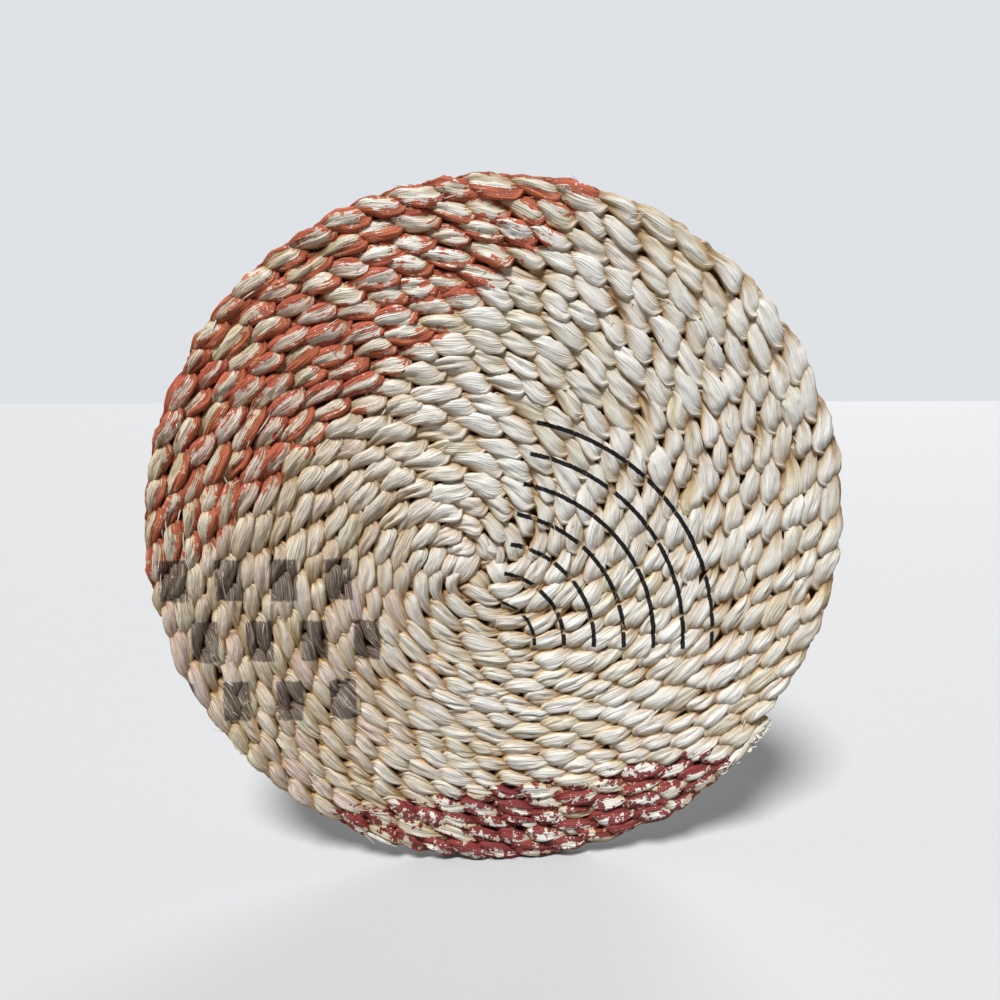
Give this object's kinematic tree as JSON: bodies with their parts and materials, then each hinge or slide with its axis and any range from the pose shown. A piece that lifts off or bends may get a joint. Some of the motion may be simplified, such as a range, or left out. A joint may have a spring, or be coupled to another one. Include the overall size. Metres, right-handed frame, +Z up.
{
  "type": "woven wall disc",
  "caption": "Flat round wall disc of plaited plant fibre, wound on edge into a spiral and sewn turn to turn, with a flat back.",
  "frame": {"origin": "on the flat back of the first full turn, the mount wall_face, 4 mm from the middle of the disc's outline", "axes": "+Y out of the flat back into the wall, -Y out of the painted face, +Z up on the wall, +X to the right as the face is seen"},
  "size_m": [0.345, 0.0144, 0.3477],
  "materials": {
    "husk": "dry matte plant fibre with a faint waxy sheen, printed in patches on the face",
    "seam_thread": "matte twisted cotton"
  },
  "bodies": {
    "root": {"braid_coil": "husk", "sewing_thread": "seam_thread"}
  },
  "joints": []
}
